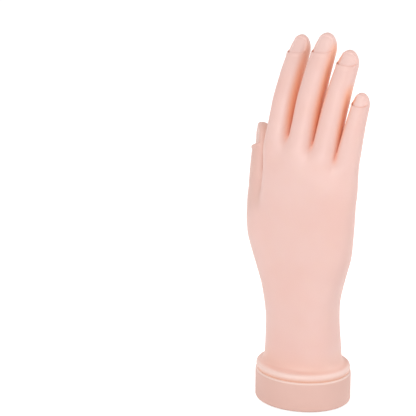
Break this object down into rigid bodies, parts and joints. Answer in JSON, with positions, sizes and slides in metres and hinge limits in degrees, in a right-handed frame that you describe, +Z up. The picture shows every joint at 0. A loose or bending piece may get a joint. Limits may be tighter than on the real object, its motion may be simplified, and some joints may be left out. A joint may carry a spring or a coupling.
{
  "type": "practice hand",
  "caption": "Upright soft practice hand for nail work: bendable wired fingers, undercut nail beds and a round drum base.",
  "frame": {"origin": "middle of the foot pad's underside, where the hand stands", "axes": "+Z up along the hand, -Y out of the back of the hand, -X towards the thumb"},
  "size_m": [0.0885, 0.0617, 0.2367],
  "materials": {
    "skin": "satin soft vinyl, pinkish skin colour",
    "drum": "matt pale pink-beige moulding",
    "plate": "matt moulding",
    "pad": "matt black foam rubber",
    "core": "natural moulding",
    "foam": "open-cell foam",
    "wire": "soft drawn wire",
    "steel": "zinc plated",
    "brass": "turned"
  },
  "bodies": {
    "hand": {"palm_skin": "skin", "index_wire": "wire", "middle_wire": "wire", "ring_wire": "wire", "little_wire": "wire", "thumb_wire": "wire", "armature_block": "core", "clamp_plate": "core", "clamp_screw_1": "steel", "clamp_screw_2": "steel", "clamp_screw_3": "steel", "block_pin": "steel", "wrist_rod": "steel", "plug_pin": "steel", "palm_foam": "foam", "wrist_plug": "core", "threaded_insert": "brass", "base_bolt": "steel", "bolt_washer": "steel", "base_drum": "drum", "bottom_plate": "plate", "plate_screw_1": "steel", "plate_screw_2": "steel", "plate_screw_3": "steel", "foot_pad": "pad"},
    "index_proximal": {"index_proximal_skin": "skin"},
    "index_middle": {"index_middle_skin": "skin"},
    "index_distal": {"index_distal_skin": "skin"},
    "middle_proximal": {"middle_proximal_skin": "skin"},
    "middle_middle": {"middle_middle_skin": "skin"},
    "middle_distal": {"middle_distal_skin": "skin"},
    "ring_proximal": {"ring_proximal_skin": "skin"},
    "ring_middle": {"ring_middle_skin": "skin"},
    "ring_distal": {"ring_distal_skin": "skin"},
    "little_proximal": {"little_proximal_skin": "skin"},
    "little_middle": {"little_middle_skin": "skin"},
    "little_distal": {"little_distal_skin": "skin"},
    "thumb_proximal": {"thumb_proximal_skin": "skin"},
    "thumb_distal": {"thumb_distal_skin": "skin"}
  },
  "joints": [
    {"name": "index_root_bend", "type": "hinge", "parent": "hand", "child": "index_proximal", "pos_m": [-0.02, 0.0004, 0.1715], "axis": [-1, 0, 0.0087], "range_deg": [-20, 55], "deforming": ["index_wire"]},
    {"name": "index_middle_bend", "type": "hinge", "parent": "index_proximal", "child": "index_middle", "pos_m": [-0.0198, 0.00838, 0.19466], "axis": [-1, 0, 0.0087], "range_deg": [-15, 60], "deforming": ["index_wire"]},
    {"name": "index_tip_bend", "type": "hinge", "parent": "index_middle", "child": "index_distal", "pos_m": [-0.01965, 0.017, 0.21159], "axis": [-1, 0, 0.0087], "range_deg": [-10, 40], "deforming": ["index_wire"]},
    {"name": "middle_root_bend", "type": "hinge", "parent": "hand", "child": "middle_proximal", "pos_m": [-0.0028, -0.001, 0.172], "axis": [-0.9994, 0, 0.0349], "range_deg": [-20, 55], "deforming": ["middle_wire"]},
    {"name": "middle_middle_bend", "type": "hinge", "parent": "middle_proximal", "child": "middle_middle", "pos_m": [-0.00194, 0.00602, 0.1965], "axis": [-0.9994, 0, 0.0349], "range_deg": [-15, 60], "deforming": ["middle_wire"]},
    {"name": "middle_tip_bend", "type": "hinge", "parent": "middle_middle", "child": "middle_distal", "pos_m": [-0.00134, 0.01405, 0.21371], "axis": [-0.9994, 0, 0.0349], "range_deg": [-10, 40], "deforming": ["middle_wire"]},
    {"name": "ring_root_bend", "type": "hinge", "parent": "hand", "child": "ring_proximal", "pos_m": [0.0142, -0.0012, 0.1685], "axis": [-0.9962, 0, 0.0872], "range_deg": [-20, 55], "deforming": ["ring_wire"]},
    {"name": "ring_middle_bend", "type": "hinge", "parent": "ring_proximal", "child": "ring_middle", "pos_m": [0.01609, 0.0046, 0.19016], "axis": [-0.9962, 0, 0.0872], "range_deg": [-15, 60], "deforming": ["ring_wire"]},
    {"name": "ring_tip_bend", "type": "hinge", "parent": "ring_middle", "child": "ring_distal", "pos_m": [0.01756, 0.01104, 0.2069], "axis": [-0.9962, 0, 0.0872], "range_deg": [-10, 40], "deforming": ["ring_wire"]},
    {"name": "little_root_bend", "type": "hinge", "parent": "hand", "child": "little_proximal", "pos_m": [0.0296, 0, 0.1635], "axis": [-0.9925, 0, 0.1219], "range_deg": [-20, 55], "deforming": ["little_wire"]},
    {"name": "little_middle_bend", "type": "hinge", "parent": "little_proximal", "child": "little_middle", "pos_m": [0.03104, 0.00207, 0.17523], "axis": [-0.9925, 0, 0.1219], "range_deg": [-15, 60], "deforming": ["little_wire"]},
    {"name": "little_tip_bend", "type": "hinge", "parent": "little_middle", "child": "little_distal", "pos_m": [0.03225, 0.00435, 0.1851], "axis": [-0.9925, 0, 0.1219], "range_deg": [-10, 40], "deforming": ["little_wire"]},
    {"name": "thumb_root_bend", "type": "hinge", "parent": "hand", "child": "thumb_proximal", "pos_m": [-0.0355, 0.007, 0.133], "axis": [0.6083, -0.7041, 0.3662], "range_deg": [-30, 15], "deforming": ["thumb_wire"]},
    {"name": "thumb_tip_bend", "type": "hinge", "parent": "thumb_proximal", "child": "thumb_distal", "pos_m": [-0.03873, 0.01247, 0.14888], "axis": [0.6083, -0.7041, 0.3662], "range_deg": [-40, 10], "deforming": ["thumb_wire"]}
  ]
}
